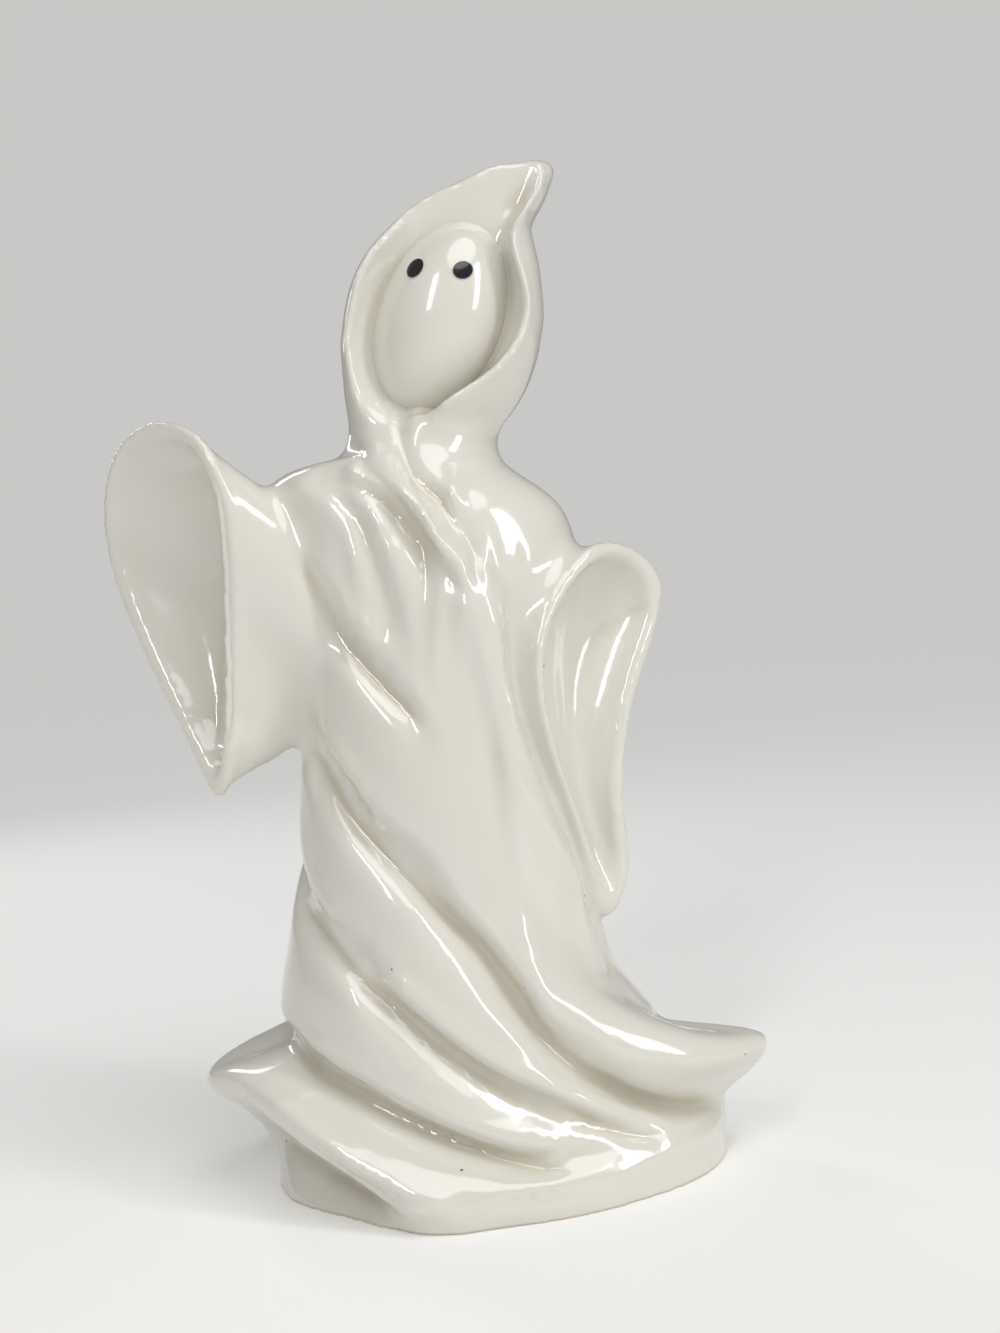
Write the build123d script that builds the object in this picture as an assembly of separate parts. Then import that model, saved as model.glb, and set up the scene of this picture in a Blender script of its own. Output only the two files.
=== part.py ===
from build123d import *
import math
import os

# A hollow slip-cast ghost in a hooded robe: cast sections joined at plain seams.
# Millimetres. X runs to the viewer's right, Y away from the viewer, Z up from where it stands.
# Outlines are measured from the robe's axis; the origin lies under the middle of the whole figure.
robe_axis_x = 12.0
robe_axis_y = 3.1

# Casting
wall = 4.5
hood_wall = 2.5
curl_fill = 0.3

# Foot
foot_width = 137.0
foot_depth = 94.0
foot_height = 6.0
foot_rim = 11.0
foot_recess = 1.2
pour_hole = 38.0

# Heights that are minus, here and in the folds, are measured down from the neck, the rest up from the ground
# Robe: height, then its reach to the left, right, front and back and how square it is (2 is an oval)
hem_height = 48.0
neck_height = 224.0
neck_left = 30.0
neck_right = 15.0
neck_front = 21.0
neck_back = 20.0
robe_rows = [
    (0, foot_width / 2, foot_width / 2, foot_depth / 2, foot_depth / 2, 2),
    (12, 67, 68.5, 48, 46, 2),
    (30, 66, 58.5, 47.5, 45, 2),
    (hem_height, 65, 47.5, 46, 43, 2),
    (60, 63.5, 39, 45, 41.5, 2),
    (75, 60, 35.5, 43, 39.5, 2),
    (100, 55.5, 33, 40, 37, 2),
    (125, 52.3, 30.5, 38, 35, 2),
    (150, 51, 30, 36.5, 34, 2),
    (-39, 53, 37, 34.5, 32, 2),
    (-24, 55, 33, 32, 30, 2),
    (-14, 57, 22, 29, 27.5, 2),
    (-9, 51.5, 16.5, 26, 25, 2),
    (-7, 45, 15.8, 24.5, 24, 2),
    (-6, 38.5, 15.4, 23.5, 23, 2),
    (-3.5, 31.8, 14.6, 22, 21.5, 2),
    (neck_height, neck_left, neck_right, neck_front, neck_back, 2),
]

# Folds of the robe: angle round from the front, height, depth (out is plus), reach above, reach below
fold_radius = 48.0
folds = {
    "shoulder_pleat": [(-40, -10, 0, 4, 4), (-26, -18, -2, 4, 4), (-16, -49, -2, 5, 5), (-6, -64, 0, 5, 5)],
    "sleeve_groove": [(-66, -19, 0, 6, 6), (-56, -36, -3.5, 6, 6), (-46, -50, -4, 5, 6),
                      (-24, -66, -4, 4, 6), (-10, -76, -2.5, 4, 6), (2, -88, 0, 4, 6)],
    "waist_groove": [(-165, -34, 0, 8, 8), (-110, -61, -3, 7, 7), (-71, 139, -5, 6, 7), (-45, 124, -6, 5, 7),
                     (-27, 111, -6, 4.5, 7), (-9, 99, -6, 4.5, 7), (5, 85, -6, 4.5, 7),
                     (20, 67, -6, 4.5, 7), (30, 47, -6, 5, 7), (38, 35, -6.5, 5, 7), (48, 26, -7, 5, 6),
                     (66, 20, -6, 5, 6), (90, 17, -3, 6, 6), (120, 17, 0, 6, 6)],
    "knee_groove": [(-165, 150, 0, 8, 8), (-110, 115, -3, 7, 7), (-66, 89, -4, 5.5, 6.5),
                    (-31, 75, -5, 4.5, 6.5), (-12, 55, -5, 4, 6.5), (-2, 44, -5, 4, 6), (11, 32, -5, 4, 6),
                    (32, 21, -3, 4, 5), (63, 18, 0, 4, 4)],
    "hem_groove": [(-150, 62, 0, 6, 6), (-110, 54, -3, 6, 6), (-81, 47, -5, 5, 5), (-61, 45, -5, 4.5, 5.5),
                   (-37, 38, -5, 4, 5.5), (-20, 29, -5, 4, 5.5), (-9, 22, -4.5, 4, 5), (5, 17, -4, 4, 4),
                   (19, 16, -3, 4, 4), (46, 15, 0, 4, 4)],
    "lapel": [(-40, -2, 2, 4, 4), (1, -18, 3.5, 4, 6), (7, -35, 4, 4, 8), (15, -48, 4, 4, 10),
              (27, -63, 4.5, 4, 11), (35, 138, 4.5, 4, 11), (48, 114, 4, 4, 11), (59, 98, 2.5, 4, 10),
              (66, 80, 0, 5, 8)],
    "lapel_left": [(-50, -2, 0, 4, 4), (-12, -16, -3, 4.5, 4.5), (-3, -34, -3, 4.5, 4.5), (12, -52, 0, 5, 5)],
    "lapel_right": [(22, -40, 0, 5, 5), (32, -54, -2.5, 5, 5), (41, 144, -3.5, 6, 5), (54, 114, -3.5, 6, 5),
                    (65, 98, -3, 6, 5), (73, 80, -2, 6, 6), (78, 70, 0, 6, 6)],
    "neck_fold": [(0, -2, -2.5, 3, 3), (10, -14, -3, 3, 3), (15, -30, -2.5, 3, 3), (21, -48, 0, 3, 3)],
    "curl_hollow": [(-92, 21, 0, 7, 9), (-78, 20, -7, 7, 9), (-64, 18, -12, 7, 9), (-48, 12, -12, 6.5, 9),
                    (-33, 6, -9, 5.5, 8), (-20, 1.5, -5, 5, 7), (-8, 0, 0, 4, 6)],
}
curls = {
    "hem_curl": [(-165, 42, 0, 9, 25), (-120, 38, 12, 8, 22), (-88, 35, 22.5, 6, 16), (-70, 38, 16, 5.5, 11),
                 (-55, 32, 12.5, 6, 10), (-38, 21.5, 9.5, 7, 10), (-22, 13, 8, 8, 10), (-9, 8, 6, 9, 10),
                 (12, 4, 3.5, 8, 8), (36, 2, 0, 8, 8)],
    "hem_tail": [(20, 70, 0, 9, 9), (36, 50, 4, 14, 9), (50, 41, 8, 15, 9), (62, 37, 14, 12, 10),
                 (75, 36, 22, 6, 13), (84, 36, 27.5, 3, 15), (98, 33, 14, 4, 15), (114, 30, 4, 5, 14),
                 (140, 28, 0, 8, 14)],
}
curl_power = 3
section_count = 84
core_count = 60
hem_step = 3.5
robe_step = 5.5
core_step = 9.0
shoulder_levels = [-14, -11.5, -9, -7.8, -6.8, -5.8, -4.5, -2.5]

# Hood: height above the neck, then the same as for the robe
hood_rows = [
    (0, neck_left, neck_right, neck_front, neck_back, 2),
    (6, 29.5, 20.5, 24, 23, 2.2),
    (14, 30, 26, 27, 26, 2.4),
    (26, 30, 30.5, 29.5, 28, 2.6),
    (36, 28.5, 32.2, 30, 28.5, 2.6),
    (46, 25.5, 32, 29, 28, 2.6),
    (54, 21, 31, 27, 26, 2.5),
    (60, 15.5, 30.3, 24, 23, 2.4),
    (66, 8.5, 33, 20, 19, 2.3),
    (72, -2.5, 36.5, 16, 14, 2.2),
    (76, -11, 38.2, 12, 10, 2.1),
    (78.5, -19.5, 38.6, 8.5, 6.5, 2),
    (80, -28, 37.4, 4.5, 2.5, 2),
]
hood_count = 56
hood_step = 5.0
hood_crown = 60.0

# Edge of the hood's opening: across, height above the neck
lip = [
    (-13, 0.5), (-20, 3), (-25.5, 11), (-27, 22), (-26, 33), (-22.5, 44), (-16, 54.5), (-7, 64), (4, 70.5),
    (15, 75.2), (25, 78.3), (32.5, 78.4), (33, 71), (26.5, 61), (23.6, 52), (25.2, 43), (26.6, 34), (24, 25),
    (16, 16), (6, 10), (-3, 5),
]
lip_reach = 70.0

# Face and eyes: the face is an egg that leans to the right
face_x = 1.0
face_back = -10.0
face_depth = 13.0
face_rise = 34.0
face_length = 59.0
face_width = 37.0
face_lean = 25.0
face_gap = 0.2
eye_relief = 0.4
eyes = {
    "right_eye": {"across": -5.1, "rise": 47.1, "width": 4.4, "length": 6.2, "lean": 35.0},
    "left_eye": {"across": 8.8, "rise": 44.9, "width": 5.2, "length": 5.9, "lean": 70.0},
}

# Sleeves: the cuff's outline as across and drop below the neck, from its tip round by the inner rim,
# the slope of its plane through "on", which way round the outline runs, the heart of the bowl and its depth,
# and the oval at the arm's root
sleeves = {
    "right_sleeve": {
        "cuff": [(-75, 103), (-70.5, 91), (-67.5, 72), (-65.5, 52), (-64, 34), (-64, 19), (-66.5, 7),
                 (-71, -2), (-78, -7.2), (-86, -9), (-94, -7.3), (-101, -2), (-106, 9), (-107.4, 22),
                 (-105.4, 36), (-101, 50), (-94, 67), (-87, 82), (-80, 98)],
        "slope": (-0.767, 0.081), "on": (-64, -28, 34), "turn": -1, "heart": (-83, 32), "bowl": 21,
        "root": (-38, -5, 56), "root_height": 66, "root_depth": 40,
    },
    "left_sleeve": {
        "cuff": [(36, 151), (33.5, 141), (32, 131), (28.5, 117), (24.5, 102), (21.3, 87), (20.5, 74),
                 (22.5, 62), (28, 51), (35.5, 41.5), (44, 36.6), (54, 39), (61, 46), (61.6, 54), (57.5, 67),
                 (51.5, 81), (46.8, 97), (45, 112), (45.3, 128), (43.5, 140)],
        "slope": (0.8, 0.09), "on": (20.5, -31.5, 76), "turn": 1, "heart": (39, 66), "bowl": 14,
        "root": (12, 0, 72), "root_height": 74, "root_depth": 52,
    },
}
sleeve_rim = 4.0
rim_least = 0.9
sleeve_flare = 0.06
sleeve_rows = 3

# Bowl of a sleeve: size of the mouth, share of the depth
bowl_rows = [(1.01, -0.1), (0.95, 0.3), (0.78, 0.72), (0.4, 1.0)]


def up(height):
    # Height above the ground of one that is given either way
    return height if height >= 0 else neck_height + height


def between(rows, at):
    # Values at one place on smooth curves through the rows, none of them overshooting
    if at <= rows[0][0]:
        return rows[0][1:]
    if at >= rows[-1][0]:
        return rows[-1][1:]
    k = max(i for i in range(len(rows) - 1) if rows[i][0] <= at)
    span = rows[k + 1][0] - rows[k][0]
    t = (at - rows[k][0]) / span
    values = []
    for column in range(1, len(rows[0])):
        start, end = rows[k][column], rows[k + 1][column]
        rise = slope_at(rows, k, column) * span
        fall = slope_at(rows, k + 1, column) * span
        values.append(start * (1 + 2 * t) * (1 - t) ** 2 + rise * t * (1 - t) ** 2
                      + end * t * t * (3 - 2 * t) + fall * t * t * (t - 1))
    return values


def slope_at(rows, k, column):
    steps = []
    for i in (k - 1, k):
        if 0 <= i < len(rows) - 1:
            steps.append((rows[i + 1][column] - rows[i][column]) / (rows[i + 1][0] - rows[i][0]))
    if steps[0] * steps[-1] <= 0:
        return 0.0
    return 2 * steps[0] * steps[-1] / (steps[0] + steps[-1])


def fold_out(rows, angle, height, power):
    # How far one fold stands out at an angle and height: a ridge or groove along its line
    if not rows[0][0] < angle < rows[-1][0]:
        return 0.0
    line, depth, above, below = between(rows, angle)
    run = math.radians(2) * fold_radius
    tilt = math.atan((between(rows, angle + 1)[0] - between(rows, angle - 1)[0]) / run)
    off = (height - line) * math.cos(tilt)
    if off > 0:
        return depth * math.exp(-(off / above) ** power)
    return depth * math.exp(-(off / below) ** 2)


def robe_out(angle, height, curl_share):
    plain = sum(fold_out(rows, angle, height, 2) for rows in fold_lines)
    return plain + curl_share * sum(fold_out(rows, angle, height, curl_power) for rows in curl_lines)


def closed_curve(points):
    # Evenly numbered points keep the surface through a row of curves light
    return Wire([Edge.make_spline(points, periodic=True, parameters=list(range(len(points) + 1)))])


def ring(rows, height, level, count, inset=0.0, out=None):
    # One level section: an oval with its own reach on each side, folded in or out along its normals
    left, right, front, back, square = between(rows, height)
    middle = (right - left) / 2
    half = (right + left) / 2
    points = []
    for k in range(count):
        angle = 360 * k / count - 180
        turn = math.radians(angle)
        depth = front if math.cos(turn) > 0 else back
        push = (out(angle) if out else 0.0) - inset
        across = signed_power(math.sin(turn), 2 - 2 / square) / half
        along = -signed_power(math.cos(turn), 2 - 2 / square) / depth
        size = math.hypot(across, along)
        points.append((middle + half * signed_power(math.sin(turn), 2 / square) + push * across / size,
                       -depth * signed_power(math.cos(turn), 2 / square) + push * along / size, level))
    return closed_curve(points)


def signed_power(value, power):
    return math.copysign(abs(value) ** power, value)


def robe_ring(level):
    return ring(robe_profile, level, level, section_count, 0.0, lambda angle: robe_out(angle, level, 1.0))


def robe_core_ring(level):
    shape = min(level + wall, neck_height)
    return ring(robe_profile, shape, level, core_count, wall, lambda angle: robe_out(angle, level, curl_fill))


def spread(start, end, step):
    count = max(round((end - start) / step), 1)
    return [start + (end - start) * k / count for k in range(count)]


def make_foot():
    levels = [0, foot_height / 2, foot_height]
    slab = Solid.make_loft([robe_ring(level) for level in levels])
    recess = ring(robe_profile, 0, 0, section_count, foot_rim)
    slab -= Solid.extrude(Face(recess), Vector(0, 0, foot_recess))
    return slab - Pos(0, 0, foot_height / 2) * Cylinder(pour_hole / 2, foot_height)


def make_robe():
    shoulder = [up(level) for level in shoulder_levels] + [neck_height]
    levels = spread(foot_height, hem_height, hem_step) + spread(hem_height, shoulder[0], robe_step) + shoulder
    outer = Solid.make_loft([robe_ring(level) for level in levels])
    core = Solid.make_loft([robe_core_ring(level) for level in levels])
    return outer, outer - core


def egg(shrink):
    # The face's full egg, less an even skin; its front cap is the face
    half_width = ((face_width / 2) ** 2 + face_depth ** 2) / (2 * face_depth)
    half_length = half_width * face_length / face_width
    with BuildPart() as body:
        with BuildSketch(Plane.XY):
            Ellipse(half_width - shrink, half_length - shrink)
            Rectangle(2 * half_width, 4 * half_length, align=(Align.MIN, Align.CENTER), mode=Mode.INTERSECT)
        revolve(axis=Axis.Y)
    middle_y = face_back - face_depth + half_width
    return Pos(face_x, middle_y, neck_height + face_rise) * Rot(0, face_lean, 0) * Rot(90, 0, 0) * body.part


def front_half(solid):
    room = 2 * face_length
    block = Pos(face_x, face_back - room / 2, neck_height + face_rise) * Box(room, room, room)
    return solid & block


def make_face():
    return front_half(egg(0) - egg(wall))


def make_eye(eye):
    place = Pos(eye["across"], face_back - face_width, neck_height + eye["rise"])
    outline = Rot(0, eye["lean"], 0) * Rot(90, 0, 0) * Ellipse(eye["width"] / 2, eye["length"] / 2)
    post = place * extrude(outline, -face_width)
    return (post & egg(-eye_relief)) - egg(0)


def make_hood():
    crown = hood_rows[-1][0]
    levels = spread(0, hood_crown, hood_step) + [row[0] for row in hood_rows if row[0] >= hood_crown]
    outer = Solid.make_loft([ring(hood_rows, level, neck_height + level, hood_count) for level in levels])
    core_rows = [(row[0], *map(min, row[1:], between(hood_rows, row[0] + wall))) for row in hood_rows]
    core_levels = spread(0, hood_crown, core_step) + [hood_crown]
    core = Solid.make_loft([ring(core_rows, level, neck_height + level, core_count, hood_wall)
                            for level in core_levels])
    keep = 2 * crown
    core &= Pos(0, face_back + wall + keep / 2, neck_height) * Box(2 * keep, keep, 2 * keep)
    return outer - make_opening() - core - egg(wall)


def make_opening():
    # Funnel from the face's foot out to the lip, then straight forward
    lean = math.radians(face_lean)
    middle_z = neck_height + face_rise
    floor, edge, far = [], [], []
    for x, rise in lip:
        dx, dz = x - face_x, neck_height + rise - middle_z
        u = dx * math.cos(lean) - dz * math.sin(lean)
        v = dx * math.sin(lean) + dz * math.cos(lean)
        size = math.hypot(u / (face_width / 2 + face_gap), v / (face_length / 2 + face_gap))
        floor.append((face_x + dx / size, face_back, middle_z + dz / size))
        edge.append((x, hood_front(x, rise), neck_height + rise))
        far.append((x, -lip_reach, neck_height + rise))
    return Solid.make_loft([closed_curve(points) for points in (floor, edge, far)], True)


def hood_front(x, rise):
    left, right, front, back, square = between(hood_rows, rise)
    side = min(abs(x - (right - left) / 2) / ((right + left) / 2), 1)
    return -front * (1 - side ** square) ** (1 / square)


def on_cuff(spec, x, drop):
    across, down = spec["slope"]
    x0, y0, drop0 = spec["on"]
    return x, y0 + across * (x - x0) + down * (drop - drop0), neck_height - drop


def mixed(start, end, share):
    return tuple(a + share * (b - a) for a, b in zip(start, end))


def mouth_outline(spec):
    # The cuff's outline drawn in by an even rim, without the tip that is too narrow for it
    stretch = math.hypot(1, spec["slope"][0])
    flat = [(x * stretch, drop) for x, drop in spec["cuff"]]
    outline = []
    for k in range(len(flat)):
        before, after = flat[k - 1], flat[(k + 1) % len(flat)]
        run = math.dist(before, after)
        inside = (flat[k][0] + sleeve_rim * (before[1] - after[1]) / run * spec["turn"],
                  flat[k][1] + sleeve_rim * (after[0] - before[0]) / run * spec["turn"])
        if min(to_line(inside, flat[i - 1], flat[i]) for i in range(len(flat))) > rim_least * sleeve_rim:
            outline.append(on_cuff(spec, inside[0] / stretch, inside[1]))
    return outline


def to_line(point, start, end):
    # Distance from a point to a straight line between two others
    run = math.dist(start, end)
    along = sum((p - a) * (b - a) for p, a, b in zip(point, start, end)) / run
    return math.dist(point, mixed(start, end, min(max(along / run, 0), 1)))


def make_sleeve(spec, robe_outer):
    # A horn from the cuff to the oval at the arm's root, hollowed by a bowl
    cuff = [on_cuff(spec, x, drop) for x, drop in spec["cuff"]]
    heart = on_cuff(spec, *spec["heart"])
    root_x, root_y, root_drop = spec["root"]
    root_middle = (root_x, root_y, neck_height - root_drop)
    root = []
    for x, y, z in cuff:
        turn = math.atan2(y - heart[1], z - heart[2])
        root.append((root_x, root_y + spec["root_depth"] / 2 * math.sin(turn),
                     root_middle[2] + spec["root_height"] / 2 * math.cos(turn)))
    rings = []
    for row in range(sleeve_rows + 1):
        share = row / sleeve_rows
        middle = mixed(heart, root_middle, share)
        draw = 4 * sleeve_flare * share * (1 - share)
        rings.append(closed_curve([mixed(mixed(p, q, share), middle, draw) for p, q in zip(cuff, root)]))
    mouth = mouth_outline(spec)
    length = math.dist(heart, root_middle)
    bowl = []
    for size, depth in bowl_rows:
        middle = mixed(heart, root_middle, depth * spec["bowl"] / length)
        drawn = [tuple(m + size * (a - h) for m, a, h in zip(middle, p, heart)) for p in mouth]
        bowl.append(closed_curve(drawn))
    return Solid.make_loft(rings) - Solid.make_loft(bowl) - robe_outer


robe_profile = [(up(height), *reach) for height, *reach in robe_rows]
fold_lines = [[(angle, up(height), *rest) for angle, height, *rest in rows] for rows in folds.values()]
curl_lines = [[(angle, up(height), *rest) for angle, height, *rest in rows] for rows in curls.values()]


robe_outer, robe = make_robe()
nodes = {"foot": make_foot(), "robe": robe, "hood": make_hood(), "face": make_face()}
for name, eye in eyes.items():
    nodes[name] = make_eye(eye)
for name, spec in sleeves.items():
    nodes[name] = make_sleeve(spec, robe_outer)

os.makedirs("parts", exist_ok=True)
for name, shape in nodes.items():
    export_step(Pos(robe_axis_x, robe_axis_y, 0) * shape, "parts/" + name + ".step")
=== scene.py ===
import math

import bmesh
import bpy
import numpy as np
from mathutils import Matrix, Vector
from mathutils.bvhtree import BVHTree
from mathutils.kdtree import KDTree


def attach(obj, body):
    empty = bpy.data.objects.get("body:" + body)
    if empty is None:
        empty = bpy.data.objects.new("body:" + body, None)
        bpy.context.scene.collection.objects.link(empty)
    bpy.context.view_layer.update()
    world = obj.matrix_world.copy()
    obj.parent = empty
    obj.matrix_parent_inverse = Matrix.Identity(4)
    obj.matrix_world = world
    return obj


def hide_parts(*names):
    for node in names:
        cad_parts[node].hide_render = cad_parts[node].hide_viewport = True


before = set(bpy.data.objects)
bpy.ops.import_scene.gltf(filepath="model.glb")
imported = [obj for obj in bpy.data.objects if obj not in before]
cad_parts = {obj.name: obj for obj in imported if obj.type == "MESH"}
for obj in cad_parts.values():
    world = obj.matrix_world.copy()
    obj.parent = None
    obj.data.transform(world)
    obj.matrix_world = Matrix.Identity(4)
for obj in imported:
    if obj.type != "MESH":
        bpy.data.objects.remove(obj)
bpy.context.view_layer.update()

scene = bpy.context.scene
print("frame loaded with", len(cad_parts), "nodes")

# camera: where the figure is seen from, for a picture of 1000 x 1333
photoView = {"place": (0.0227, -0.4559, 0.164), "pitchDown": 1.4, "roll": 4.4,
             "focalPixels": 1500.0, "picture": (1000, 1333), "sensor": 36.0, "nearest": 0.01}


def makeCamera(look):
    lens = bpy.data.cameras.new("photoCamera")
    lens.sensor_fit = "VERTICAL"
    lens.sensor_height = look["sensor"]
    lens.lens = look["sensor"] * look["focalPixels"] / look["picture"][1]
    lens.clip_start = look["nearest"]
    eye = bpy.data.objects.new("photoCamera", lens)
    scene.collection.objects.link(eye)
    tilt = Matrix.Rotation(math.radians(90 - look["pitchDown"]), 4, "X")
    turn = Matrix.Rotation(-math.radians(look["roll"]), 4, "Z")
    eye.matrix_world = Matrix.Translation(look["place"]) @ tilt @ turn
    scene.camera = eye
    return eye.matrix_world.copy()


eyeMatrix = makeCamera(photoView)


def inPicture(co):
    # where points fall in the picture, in its pixels
    wide, tall = photoView["picture"]
    seen = (co - np.array(photoView["place"])) @ np.array(eyeMatrix.to_3x3())
    ahead = photoView["focalPixels"] / -seen[:, 2]
    return np.stack([wide / 2 + seen[:, 0] * ahead, tall / 2 - seen[:, 1] * ahead], axis=1)


# the casting's skin: the cast sections taken as one, as they are in the clay, and eased where they join
castNodes = ["foot", "robe", "hood", "right_sleeve", "left_sleeve"]
skinLook = {"voxel": 0.0011, "evenPasses": 6, "lastPasses": 3, "mergeWithin": 2e-6, "nearReach": 0.010}
# joins: the two sections, how far the easing reaches and how many passes it takes
joins = [("robe", "hood", 0.009, 90), ("robe", "right_sleeve", 0.009, 90),
         ("robe", "left_sleeve", 0.009, 90), ("robe", "foot", 0.003, 12)]
# where the robe's wall is thinner than this it is backed from inside, so the skin stays whole
backing = {"under": 0.0024, "radius": 0.0015, "start": 0.0003}
# beads: how close their balls stand, and how far from other sections an edge has to be to carry one
beadLook = {"step": 0.0005, "clear": 0.004}
# rims: free edges sharper than the angle carry a round bead, set in by this share of its radius, then eased
rims = {"hood": {"angle": 28, "bead": 0.0012, "inset": 0.8, "reach": 0.0045, "passes": 8},
        "right_sleeve": {"angle": 40, "bead": 0.0018, "inset": 0.8, "reach": 0.0055, "passes": 10},
        "left_sleeve": {"angle": 40, "bead": 0.0017, "inset": 0.8, "reach": 0.0055, "passes": 10}}


def mergedNode(name):
    # a copy of a CAD node with its seams merged
    bm = bmesh.new()
    bm.from_mesh(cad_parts[name].data)
    bmesh.ops.remove_doubles(bm, verts=bm.verts, dist=skinLook["mergeWithin"])
    return bm


def joinedNodes(names, extras):
    # the sections and the balls that back or round them, in one mesh
    whole = bmesh.new()
    for part in extras:
        whole.from_mesh(part)
        bpy.data.meshes.remove(part)
    for name in names:
        bm = mergedNode(name)
        part = bpy.data.meshes.new(name + "Part")
        bm.to_mesh(part)
        bm.free()
        whole.from_mesh(part)
        bpy.data.meshes.remove(part)
    mesh = bpy.data.meshes.new("castSections")
    whole.to_mesh(mesh)
    whole.free()
    return mesh


def withModifier(mesh, kind, group=None, **settings):
    # the mesh with one modifier made real, on a group of its points or on all
    block = bpy.data.objects.new("worked", mesh)
    scene.collection.objects.link(block)
    if group is not None:
        block.vertex_groups.new(name="spare").add(group, 1.0, "REPLACE")
        settings["vertex_group"] = "spare"
    change = block.modifiers.new("change", kind)
    for key, value in settings.items():
        setattr(change, key, value)
    bpy.context.view_layer.update()
    done = bpy.data.meshes.new_from_object(block.evaluated_get(bpy.context.evaluated_depsgraph_get()))
    bpy.data.objects.remove(block)
    return done


def vertexPlaces(mesh):
    co = np.empty(len(mesh.vertices) * 3, np.float32)
    mesh.vertices.foreach_get("co", co)
    return co.reshape(-1, 3).astype(float)


def vertexNormals(mesh):
    no = np.empty(len(mesh.vertices) * 3, np.float32)
    mesh.vertex_normals.foreach_get("vector", no)
    return no.reshape(-1, 3).astype(float)


def edgeEnds(mesh):
    ends = np.empty(len(mesh.edges) * 2, np.int32)
    mesh.edges.foreach_get("vertices", ends)
    return ends.reshape(-1, 2)


def setPlaces(mesh, co):
    mesh.vertices.foreach_set("co", co.astype(np.float32).ravel())
    mesh.update()


def neighbourMean(values, ends):
    count = len(values)
    total = np.empty_like(values)
    for axis in range(values.shape[1]):
        total[:, axis] = (np.bincount(ends[:, 0], values[ends[:, 1], axis], count)
                          + np.bincount(ends[:, 1], values[ends[:, 0], axis], count))
    links = np.bincount(ends.ravel(), minlength=count)
    return total / np.maximum(links, 1)[:, None]


# smoothing: how far a pass draws points to the middle of their neighbours, and how far it sends them back
smoothing = {"draw": 0.5, "back": 0.52}


def eased(co, ends, weight, passes):
    # plain smoothing, which rounds what it passes over
    for turn in range(passes):
        co = co + (neighbourMean(co, ends) - co) * weight[:, None] * smoothing["draw"]
    return co


def evened(co, ends, passes):
    # smoothing that gives back what it shrinks
    for turn in range(passes):
        co = co + (neighbourMean(co, ends) - co) * smoothing["draw"]
        co = co - (neighbourMean(co, ends) - co) * smoothing["back"]
    return co


def smoothstep(value):
    value = np.clip(value, 0, 1)
    return value * value * (3 - 2 * value)


fadeSlope = 1.5


def fadeOut(away, reach):
    # one up to a third of the reach, and nothing at its end
    return smoothstep(fadeSlope - fadeSlope * away / reach)


def distanceTo(name, co):
    # how far points are from a section, up to the near reach
    reach = skinLook["nearReach"]
    bm = mergedNode(name)
    tree = BVHTree.FromBMesh(bm)
    bm.free()
    away = np.full(len(co), reach)
    for k, place in enumerate(co):
        hit = tree.find_nearest(place, reach)
        if hit[3] is not None:
            away[k] = hit[3]
    return away


def rimPoints(name, look):
    # points along the section's free sharp edges, set in by the bead's inset
    points = []
    bm = mergedNode(name)
    for edge in bm.edges:
        if edge.is_convex and edge.calc_face_angle(0) > math.radians(look["angle"]):
            out = (edge.link_faces[0].normal + edge.link_faces[1].normal).normalized()
            first, last = edge.verts[0].co, edge.verts[1].co
            steps = 1 + int(edge.calc_length() / beadLook["step"])
            points.extend(first.lerp(last, (k + 0.5) / steps) - out * look["inset"] * look["bead"]
                          for k in range(steps))
    bm.free()
    points = np.array(points)
    for other in castNodes + ["face"]:
        if other != name:
            points = points[distanceTo(other, points) > beadLook["clear"]]
    return points


def thinPoints(name, look):
    # outer points where the wall is thin, set in by the backing's radius
    points = []
    bm = mergedNode(name)
    bm.normal_update()
    tree = BVHTree.FromBMesh(bm)
    for vert in bm.verts:
        step = look["start"] * vert.normal
        isOuter = tree.ray_cast(vert.co + step, vert.normal)[0] is None
        if isOuter and tree.ray_cast(vert.co - step, -vert.normal, look["under"])[0] is not None:
            points.append(vert.co - look["radius"] * vert.normal)
    bm.free()
    return np.array(points).reshape(-1, 3)


def beadMesh(points, radius):
    # a ball at each point
    bm = bmesh.new()
    bmesh.ops.create_icosphere(bm, subdivisions=2, radius=radius)
    ball = np.array([v.co for v in bm.verts])
    sides = np.array([[v.index for v in f.verts] for f in bm.faces])
    bm.free()
    places = (points[:, None, :] + ball).reshape(-1, 3)
    faces = (sides + len(ball) * np.arange(len(points))[:, None, None]).reshape(-1, 3)
    mesh = bpy.data.meshes.new("beads")
    mesh.from_pydata(places.tolist(), [], faces.tolist())
    return mesh


def rimWeight(co, points, look):
    # one along the rim, and nothing beyond its reach
    finder = KDTree(len(points))
    for k, point in enumerate(points):
        finder.insert(point, k)
    finder.balance()
    away = np.full(len(co), 1.0)
    lowest, highest = points.min(axis=0) - look["reach"], points.max(axis=0) + look["reach"]
    box = np.all((co > lowest) & (co < highest), axis=1)
    for k in np.nonzero(box)[0]:
        away[k] = finder.find(co[k])[2]
    return fadeOut(away, look["reach"])


def softNormals(mesh, ends, passes):
    # the skin's directions without its small detail
    soft = eased(vertexNormals(mesh), ends, everywhere, passes)
    return soft / np.linalg.norm(soft, axis=1)[:, None]


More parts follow.
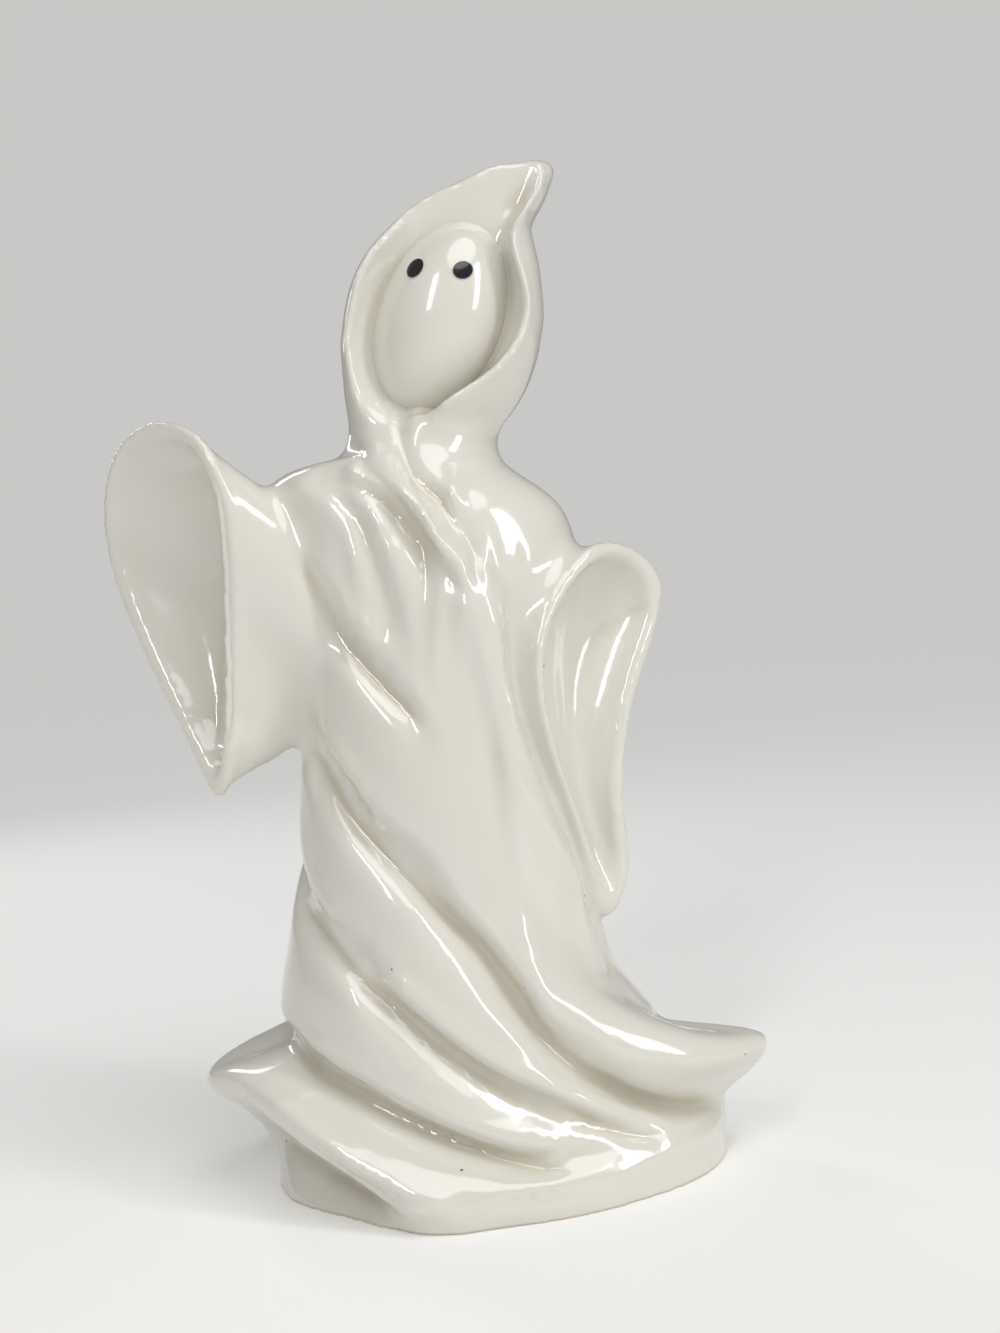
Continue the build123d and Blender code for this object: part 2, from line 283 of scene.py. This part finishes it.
backs = thinPoints("robe", backing)
print("thin wall backed at", len(backs), "points")
rimLines = {name: rimPoints(name, look) for name, look in rims.items()}
beads = [beadMesh(rimLines[name], look["bead"]) for name, look in rims.items()]
sections = joinedNodes(castNodes, beads + [beadMesh(backs, backing["radius"])])
skin = withModifier(sections, "REMESH", mode="VOXEL", voxel_size=skinLook["voxel"])
print("skin:", len(skin.vertices), "points", len(skin.polygons), "faces")
ends = edgeEnds(skin)
everywhere = np.ones(len(skin.vertices))
skinPlaces = evened(vertexPlaces(skin), ends, skinLook["evenPasses"])
# how near the skin is to each section
near = {name: distanceTo(name, skinPlaces) for name in castNodes}
for name, look in rims.items():
    weight = rimWeight(skinPlaces, rimLines[name], look)
    skinPlaces = eased(skinPlaces, ends, weight, look["passes"])
    print(name, "rim rounded:", len(rimLines[name]), "beads", int((weight > 0).sum()), "points")
for first, second, reach, passes in joins:
    weight = smoothstep(1 - np.maximum(near[first], near[second]) / reach)
    skinPlaces = eased(skinPlaces, ends, weight, passes)
setPlaces(skin, skinPlaces)
print("joins eased")


# modelling strokes: lines over the picture that press or raise what is seen of the skin there, in mm.
# press is the crease's depth (minus for a ridge), width its half width above and below the line,
# roll how far the cloth just above it is raised, and rollAt how far from the line
strokes = {
    "peakChannel": {"press": 1.6, "width": (3.5, 3.5), "roll": 0.0, "rollAt": 0.0, "line": [
        (503, 232), (508, 210), (519, 196), (531, 182), (541, 174)]},
    "lipEnd": {"press": -1.6, "width": (3.0, 3.0), "roll": 0.0, "rollAt": 0.0, "line": [
        (482, 357), (460, 370), (438, 389), (420, 410), (412, 429), (411, 445)]},
    "lipCrease": {"press": 1.2, "width": (2.2, 2.2), "roll": 0.0, "rollAt": 0.0, "line": [
        (418, 398), (406, 414), (401, 432), (405, 455), (415, 480), (428, 505), (441, 530), (455, 572)]},
    "lapelCrease": {"press": 1.6, "width": (2.0, 2.6), "roll": 0.6, "rollAt": 4.5, "line": [
        (349, 425), (355, 444), (366, 464), (381, 483), (397, 502), (413, 525), (428, 548), (442, 566),
        (456, 584), (470, 606)]},
    "neckRidge": {"press": -1.4, "width": (2.6, 2.6), "roll": 0.0, "rollAt": 0.0, "line": [
        (452, 462), (453, 487), (454, 515), (461, 540), (470, 557), (484, 577), (494, 606), (498, 640)]},
    "sleeveCrease": {"press": 1.6, "width": (1.8, 3.0), "roll": 1.0, "rollAt": 5.0, "line": [
        (297, 548), (315, 590), (336, 629), (360, 660), (385, 688), (405, 708), (425, 730)]},
    "waistCrease": {"press": 1.8, "width": (1.8, 3.0), "roll": 1.2, "rollAt": 5.0, "line": [
        (307, 736), (326, 772), (351, 815), (384, 854), (416, 886), (451, 919), (480, 945), (501, 972),
        (523, 1001), (537, 1026), (555, 1047), (580, 1069), (609, 1083), (637, 1097), (673, 1106),
        (709, 1106), (728, 1101)]},
    "kneeCrease": {"press": 1.7, "width": (1.8, 3.0), "roll": 1.1, "rollAt": 5.0, "line": [
        (297, 892), (316, 922), (341, 954), (366, 983), (398, 1008), (430, 1033), (462, 1058), (494, 1078),
        (530, 1094), (566, 1108), (601, 1124), (637, 1133), (673, 1135)]},
    "hemCrease": {"press": 1.6, "width": (1.8, 2.6), "roll": 1.0, "rollAt": 5.0, "line": [
        (281, 1042), (301, 1054), (326, 1076), (359, 1094), (394, 1113), (430, 1129), (466, 1144),
        (501, 1156), (537, 1165), (576, 1169)]},
    "lapelEdge": {"press": -1.0, "width": (2.5, 5.0), "roll": 0.0, "rollAt": 0.0, "line": [
        (465, 590), (482, 640), (494, 711), (501, 740), (512, 769), (530, 797), (551, 836), (573, 876),
        (589, 911)]},
    "scrollLip": {"press": -1.4, "width": (3.0, 2.5), "roll": 0.0, "rollAt": 0.0, "line": [
        (254, 1082), (277, 1103), (296, 1121), (329, 1145), (358, 1168), (390, 1185), (422, 1198),
        (464, 1208)]},
    "scrollHollow": {"press": 1.5, "width": (3.5, 4.0), "roll": 0.0, "rollAt": 0.0, "line": [
        (243, 1106), (266, 1125), (292, 1143), (320, 1162), (350, 1181), (380, 1197), (410, 1208)]},
    "rightBowl": {"press": 2.6, "width": (8.0, 8.0), "roll": 0.0, "rollAt": 0.0, "line": [
        (192, 466), (200, 510), (205, 560), (208, 614), (214, 667), (219, 713), (225, 750)]},
}
# every stroke: point spacing and end taper of its line, its reach, and how its sides and ends fall off
strokeLook = {"spacing": 2.0, "taper": 18, "reach": 14, "rollWidth": 3, "endWidth": 2, "power": 1.7,
              "softPasses": 12, "batch": 4000}
mmPerMetre = 1000
# seen: how squarely a point has to face the camera, over what range it comes in, where its sight line starts
seenLook = {"facing": 0.05, "range": 0.3, "lift": 0.0015, "passes": 4}
# patches of the front that are smoothed first: centre and reach in the picture, passes
patches = [((402, 445), 58, 60)]
# swells: where the base stands further out than its solid; what faces back past the limit stays
swells = [{"centre": (-0.019, -0.043, 0.0), "reach": (0.019, 0.022, 0.009), "push": (0.0, -0.0115, 0.0),
           "backward": 0.3}]


def smoothLine(points, spacing):
    # a line through the points, with its directions
    line = []
    for k in range(len(points) - 1):
        a, b, c, d = (np.array(points[max(0, min(len(points) - 1, k + i))], float) for i in (-1, 0, 1, 2))
        for t in np.arange(0, 1, spacing / np.linalg.norm(c - b)):
            line.append(0.5 * (2 * b + (c - a) * t + (2 * a - 5 * b + 4 * c - d) * t * t
                               + (3 * b - a - 3 * c + d) * t ** 3))
    line = np.array(line)
    along = np.gradient(line, axis=0)
    return line, along / np.linalg.norm(along, axis=1)[:, None]


def strokeShift(at, scale, look):
    # how far one stroke moves points that are seen at these places in the picture
    line, along = smoothLine(look["line"], strokeLook["spacing"])
    shift = np.zeros(len(at))
    reach = strokeLook["reach"] / scale.min()
    lowest, highest = line.min(axis=0) - reach, line.max(axis=0) + reach
    close = np.nonzero(np.all((at > lowest) & (at < highest), axis=1))[0]
    for some in np.array_split(close, 1 + len(close) // strokeLook["batch"]):
        away = at[some][:, None, :] - line[None, :, :]
        k = np.argmin((away ** 2).sum(axis=2), axis=1)
        away = away[np.arange(len(some)), k]
        above = (along[k, 1] * away[:, 0] - along[k, 0] * away[:, 1]) * scale[some]
        beyond = np.abs((along[k] * away).sum(axis=1)) * scale[some]
        width = np.where(above > 0, look["width"][0], look["width"][1])
        fade = smoothstep(np.minimum(k, len(line) - 1 - k) / strokeLook["taper"])
        fade = fade * np.exp(-(beyond / strokeLook["endWidth"]) ** 2)
        roll = look["roll"] * np.exp(-((above - look["rollAt"]) / strokeLook["rollWidth"]) ** 2)
        press = look["press"] * np.exp(-np.abs(above / width) ** strokeLook["power"])
        shift[some] = fade * (roll - press)
    return shift


def seenWeights(co, normals, mesh):
    # one where a point faces the camera with nothing before it
    toEye = np.array(photoView["place"]) - co
    toEye /= np.linalg.norm(toEye, axis=1)[:, None]
    weight = smoothstep(((normals * toEye).sum(axis=1) - seenLook["facing"]) / seenLook["range"])
    tree = BVHTree.FromPolygons(co.tolist(), [tuple(p.vertices) for p in mesh.polygons])
    for k in np.nonzero(weight > 0)[0]:
        start = Vector(co[k] + seenLook["lift"] * toEye[k])
        if tree.ray_cast(start, Vector(toEye[k]))[0] is not None:
            weight[k] = 0
    return weight


def modelled(co, mesh, ends):
    # the skin with its patches smoothed and its strokes made
    seen = seenWeights(co, vertexNormals(mesh), mesh)[:, None]
    seen = eased(seen, ends, everywhere, seenLook["passes"])[:, 0]
    at = inPicture(co)
    for middle, reach, passes in patches:
        close = fadeOut(np.linalg.norm(at - middle, axis=1), reach)
        co = eased(co, ends, seen * close, passes)
    setPlaces(mesh, co)
    soft = softNormals(mesh, ends, strokeLook["softPasses"])
    at = inPicture(co)
    toCamera = np.linalg.norm(co - np.array(photoView["place"]), axis=1)
    scale = mmPerMetre * toCamera / photoView["focalPixels"]
    for look in strokes.values():
        co = co + soft * (seen * strokeShift(at, scale, look) / mmPerMetre)[:, None]
    return co


def swollen(co, normals):
    # the skin with its swells; the inner wall faces back and stays
    for look in swells:
        away = (co - np.array(look["centre"])) / np.array(look["reach"])
        weight = np.exp(-(away ** 2).sum(axis=1)) * (normals[:, 1] < look["backward"])
        co = co + weight[:, None] * np.array(look["push"])
    return co


skinPlaces = swollen(skinPlaces, vertexNormals(skin))
setPlaces(skin, skinPlaces)
skinPlaces = evened(modelled(skinPlaces, skin, ends), ends, skinLook["lastPasses"])
setPlaces(skin, skinPlaces)
print("creases and rolls modelled")


# glaze: warm ivory, thicker and warmer in the hollows, with a few pinholes; the hollows' darker tone is
# partly glaze pooling and partly painted shade
ivoryGlaze = {"roughness": 0.14, "coat": 0.6, "coatRoughness": 0.02,
              "cloudScale": 14.0, "cloudDetail": 3.0, "cool": (0.70, 0.69, 0.63, 1),
              "warm": (0.72, 0.695, 0.62, 1), "pooledAndShaded": (0.63, 0.585, 0.48, 1), "poolShadeBend": 0.00010,
              "poolShadePasses": 6, "speckScale": 55.0, "speckSize": 0.022, "speck": (0.16, 0.13, 0.10, 1)}
# the standing rim is wiped bare up to this height
bareClay = {"upTo": 0.0007, "colour": (0.62, 0.55, 0.46, 1), "roughness": 0.85}
blackGlaze = {"roughness": 0.10, "coat": 0.2, "coatRoughness": 0.02,
              "cloudScale": 900.0, "cloudDetail": 3.0,
              "thin": (0.020, 0.021, 0.026, 1), "thick": (0.004, 0.004, 0.005, 1)}


def newMaterial(name, look):
    material = bpy.data.materials.new(name)
    material.use_nodes = True
    tree = material.node_tree
    shader = tree.nodes["Principled BSDF"]
    shader.inputs["Roughness"].default_value = look["roughness"]
    shader.inputs["Coat Weight"].default_value = look["coat"]
    shader.inputs["Coat Roughness"].default_value = look["coatRoughness"]
    return material, tree, shader


def objectNoise(tree, look):
    place = tree.nodes.new("ShaderNodeTexCoord")
    cloud = tree.nodes.new("ShaderNodeTexNoise")
    cloud.inputs["Scale"].default_value = look["cloudScale"]
    cloud.inputs["Detail"].default_value = look["cloudDetail"]
    tree.links.new(place.outputs["Object"], cloud.inputs["Vector"])
    return place, cloud


def blend(tree, share, first, second):
    # a mix of two colours, each a value or a socket
    mix = tree.nodes.new("ShaderNodeMix")
    mix.data_type = "RGBA"
    tree.links.new(share, mix.inputs[0])
    for value, socket in ((first, mix.inputs[6]), (second, mix.inputs[7])):
        if isinstance(value, tuple):
            socket.default_value = value
        else:
            tree.links.new(value, socket)
    return mix.outputs[2]


def under(tree, value, limit):
    # one where a value is under its limit
    test = tree.nodes.new("ShaderNodeMath")
    test.operation = "LESS_THAN"
    tree.links.new(value, test.inputs[0])
    test.inputs[1].default_value = limit
    return test.outputs[0]


def switch(tree, share, first, second, socket):
    # a socket that goes from one number to another
    mix = tree.nodes.new("ShaderNodeMix")
    tree.links.new(share, mix.inputs[0])
    mix.inputs[2].default_value = first
    mix.inputs[3].default_value = second
    tree.links.new(mix.outputs[0], socket)


def ivoryMaterial(name, look, clay=None):
    material, tree, shader = newMaterial(name, look)
    place, cloud = objectNoise(tree, look)
    colour = blend(tree, cloud.outputs["Fac"], look["cool"], look["warm"])
    # painted shade: the hollows are darkened and warmed, partly for real glaze pooling
    glazePoolShade = tree.nodes.new("ShaderNodeAttribute")
    glazePoolShade.attribute_name = "glazePoolShade"
    colour = blend(tree, glazePoolShade.outputs["Fac"], colour, look["pooledAndShaded"])
    cells = tree.nodes.new("ShaderNodeTexVoronoi")
    cells.inputs["Scale"].default_value = look["speckScale"]
    tree.links.new(place.outputs["Object"], cells.inputs["Vector"])
    speck = under(tree, cells.outputs["Distance"], look["speckSize"])
    colour = blend(tree, speck, colour, look["speck"])
    if clay:
        parts = tree.nodes.new("ShaderNodeSeparateXYZ")
        tree.links.new(place.outputs["Object"], parts.inputs[0])
        bare = under(tree, parts.outputs["Z"], clay["upTo"])
        colour = blend(tree, bare, colour, clay["colour"])
        switch(tree, bare, look["roughness"], clay["roughness"], shader.inputs["Roughness"])
        switch(tree, bare, look["coat"], 0.0, shader.inputs["Coat Weight"])
    tree.links.new(colour, shader.inputs["Base Color"])
    return material


def blackMaterial(name, look):
    material, tree, shader = newMaterial(name, look)
    cloud = objectNoise(tree, look)[1]
    colour = blend(tree, cloud.outputs["Fac"], look["thin"], look["thick"])
    tree.links.new(colour, shader.inputs["Base Color"])
    return material


ivory = ivoryMaterial("ivoryGlaze", ivoryGlaze)
footIvory = ivoryMaterial("footGlaze", ivoryGlaze, bareClay)
eyeBlack = blackMaterial("blackGlaze", blackGlaze)
for name, material in (("face", ivory), ("right_eye", eyeBlack), ("left_eye", eyeBlack)):
    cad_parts[name].data.materials.clear()
    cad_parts[name].data.materials.append(material)


# the skin is parted into castings, each closed at its seams; the robe keeps its sleeves, whose roots show
castings = {"footCasting": ["foot"], "robeCasting": ["robe", "right_sleeve", "left_sleeve"],
            "hoodCasting": ["hood"]}
# the inner wall lies past the pour hole and the face's pocket
pourHole = {"centre": (0.012, 0.0031), "radius": 0.0205, "top": 0.0080}
facePocket = {"edge": 0.0015, "detail": 0.004}
# spare: the inner wall and what faces back past the limit, which keep this share of their faces
spareLook = {"backward": 0.3, "keep": 0.25}


def reachedFrom(start, ends, allowed):
    # the points that can be reached along the skin without crossing what isn't allowed
    seen = np.zeros(len(allowed), bool)
    seen[start] = True
    while True:
        first, last = seen[ends[:, 0]], seen[ends[:, 1]]
        grown = np.concatenate([ends[first & ~last, 1], ends[last & ~first, 0]])
        grown = grown[allowed[grown]]
        if len(grown) == 0:
            return seen
        seen[grown] = True


def poolingAndShade(co, mesh, ends):
    # how hollow the skin is, where glaze gathers and where the creases get painted shade
    bend = ((neighbourMean(co, ends) - co) * vertexNormals(mesh)).sum(axis=1)
    bend = eased(bend[:, None], ends, everywhere, ivoryGlaze["poolShadePasses"])[:, 0]
    return smoothstep(bend / ivoryGlaze["poolShadeBend"])


def addAttribute(mesh, name, kind, values):
    layer = mesh.attributes.new(name, kind, "POINT")
    field = "vector" if kind == "FLOAT_VECTOR" else "value"
    layer.data.foreach_set(field, values.astype(np.float32).ravel())


def faceOwners(mesh, near):
    # which casting each face of the skin belongs to; all its faces have four corners
    corners = np.empty(len(mesh.polygons) * 4, np.int32)
    mesh.polygons.foreach_get("vertices", corners)
    corners = corners.reshape(-1, 4)
    away = [np.min([near[node] for node in nodes], axis=0) for nodes in castings.values()]
    return np.argmin([values[corners].sum(axis=1) for values in away], axis=0)


def castingMesh(mesh, owners, k):
    # one casting's faces, closed where it parts from the next
    bm = bmesh.new()
    bm.from_mesh(mesh)
    bm.faces.ensure_lookup_table()
    neighbour = bm.edges.layers.int.new("neighbour")
    for edge in bm.edges:
        sides = {int(owners[face.index]) for face in edge.link_faces}
        if k in sides and len(sides) == 2:
            edge[neighbour] = 1 + (sides - {k}).pop()
    bmesh.ops.delete(bm, geom=[f for f in bm.faces if owners[f.index] != k], context="FACES")
    for other in range(len(castings)):
        seam = [e for e in bm.edges if e.is_boundary and e[neighbour] == 1 + other]
        if seam:
            bmesh.ops.bridge_loops(bm, edges=seam)
    print("open edges:", sum(e.is_boundary for e in bm.edges))
    bm.edges.layers.int.remove(neighbour)
    part = bpy.data.meshes.new("casting")
    bm.to_mesh(part)
    bm.free()
    return part


def lightened(mesh):
    # the inner wall and the plain back keep fewer faces
    spare = np.empty(len(mesh.vertices), np.float32)
    mesh.attributes["spare"].data.foreach_get("value", spare)
    group = np.nonzero(spare > 0.5)[0].tolist()
    ratio = 1 - len(group) / len(spare) * (1 - spareLook["keep"])
    return withModifier(mesh, "DECIMATE", group=group, ratio=ratio)


def addCasting(name, mesh, material):
    # one casting in place, shaded as part of the whole skin so that no seam shows
    normals = np.empty(len(mesh.vertices) * 3, np.float32)
    mesh.attributes["wholeNormal"].data.foreach_get("vector", normals)
    mesh.attributes.remove(mesh.attributes["wholeNormal"])
    mesh.attributes.remove(mesh.attributes["spare"])
    mesh.shade_smooth()
    mesh.normals_split_custom_set_from_vertices(normals.reshape(-1, 3).tolist())
    mesh.materials.clear()
    mesh.materials.append(material)
    piece = bpy.data.objects.new(name, mesh)
    scene.collection.objects.link(piece)
    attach(piece, "root")
    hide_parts(*castings[name])
    print(name, sum(len(p.vertices) - 2 for p in mesh.polygons), "triangles")


fromHole = np.linalg.norm(skinPlaces[:, :2] - np.array(pourHole["centre"]), axis=1)
fromFace = distanceTo("face", skinPlaces)
allowed = (fromHole > pourHole["radius"]) | (skinPlaces[:, 2] > pourHole["top"])
allowed &= fromFace > facePocket["edge"]
outside = reachedFrom(np.argmax(skinPlaces[:, 2]), ends, allowed)
normals = vertexNormals(skin)
spare = (~outside & (fromFace > facePocket["detail"])) | (normals[:, 1] > spareLook["backward"])
print("inner wall:", int((~outside).sum()), "of", len(outside), "points")
addAttribute(skin, "spare", "FLOAT", spare)
# the hollows' mask, for glaze pooling and painted shade in the creases
addAttribute(skin, "glazePoolShade", "FLOAT", poolingAndShade(skinPlaces, skin, ends))
addAttribute(skin, "wholeNormal", "FLOAT_VECTOR", normals)
owners = faceOwners(skin, near)
for k, name in enumerate(castings):
    part = lightened(castingMesh(skin, owners, k))
    if name == "footCasting":
        addCasting(name, part, footIvory)
    else:
        addCasting(name, part, ivory)


# stage: a wide pale floor under an even soft light, with a backdrop of the same tone
stageLook = {"floor": (0.85, 0.85, 0.84, 1), "floorRoughness": 0.95, "floorGlow": 0.15, "halfWidth": 30.0,
             "sky": (1.0, 0.99, 0.97, 1), "skyStrength": 0.27, "backdrop": 0.583,
             "sun": 1.0, "sunAngle": 40, "sunFrom": (0.35, -0.55, 1.0)}
# soft boxes: place, width and height, watts; all aim at the figure's middle
boxAim = (0, 0, 0.15)
softBoxes = {"keyBox": ((-0.25, -0.85, 0.75), (0.10, 0.5), 2.6),
             "sideBox": ((0.85, -0.55, 0.55), (0.16, 0.7), 3.0),
             "backBox": ((-0.5, 0.75, 0.7), (0.16, 0.6), 1.2)}


def makeStage(look):
    bm = bmesh.new()
    bmesh.ops.create_grid(bm, x_segments=1, y_segments=1, size=look["halfWidth"])
    mesh = bpy.data.meshes.new("paleFloor")
    bm.to_mesh(mesh)
    bm.free()
    floor = bpy.data.objects.new("paleFloor", mesh)
    scene.collection.objects.link(floor)
    material = bpy.data.materials.new("palePaper")
    material.use_nodes = True
    shader = material.node_tree.nodes["Principled BSDF"]
    shader.inputs["Base Color"].default_value = look["floor"]
    shader.inputs["Roughness"].default_value = look["floorRoughness"]
    shader.inputs["Specular IOR Level"].default_value = 0.0
    shader.inputs["Emission Color"].default_value = look["floor"]
    shader.inputs["Emission Strength"].default_value = look["floorGlow"]
    mesh.materials.append(material)
    light = bpy.data.lights.new("evenLight", "SUN")
    light.energy = look["sun"]
    light.angle = math.radians(look["sunAngle"])
    sun = bpy.data.objects.new("evenLight", light)
    scene.collection.objects.link(sun)
    sun.rotation_euler = (-Vector(look["sunFrom"])).to_track_quat("-Z", "Y").to_euler()


def makeRoom(look):
    # the room lights the figure, and the camera sees a backdrop in its place
    world = bpy.data.worlds.new("room")
    scene.world = world
    world.use_nodes = True
    tree = world.node_tree
    room = tree.nodes["Background"]
    room.inputs["Color"].default_value = look["sky"]
    room.inputs["Strength"].default_value = look["skyStrength"]
    backdrop = tree.nodes.new("ShaderNodeBackground")
    backdrop.inputs["Color"].default_value = look["sky"]
    backdrop.inputs["Strength"].default_value = look["backdrop"]
    ray = tree.nodes.new("ShaderNodeLightPath")
    seen = tree.nodes.new("ShaderNodeMixShader")
    tree.links.new(ray.outputs["Is Camera Ray"], seen.inputs[0])
    tree.links.new(room.outputs[0], seen.inputs[1])
    tree.links.new(backdrop.outputs[0], seen.inputs[2])
    tree.links.new(seen.outputs[0], tree.nodes["World Output"].inputs["Surface"])


def softBox(name, place, size, watts):
    light = bpy.data.lights.new(name, "AREA")
    light.shape = "RECTANGLE"
    light.size, light.size_y = size
    light.energy = watts
    lamp = bpy.data.objects.new(name, light)
    scene.collection.objects.link(lamp)
    lamp.location = place
    lamp.rotation_euler = (Vector(boxAim) - Vector(place)).to_track_quat("-Z", "Y").to_euler()


makeStage(stageLook)
makeRoom(stageLook)
for name, look in softBoxes.items():
    softBox(name, *look)
scene.view_settings.view_transform = "Standard"
print("stage set")
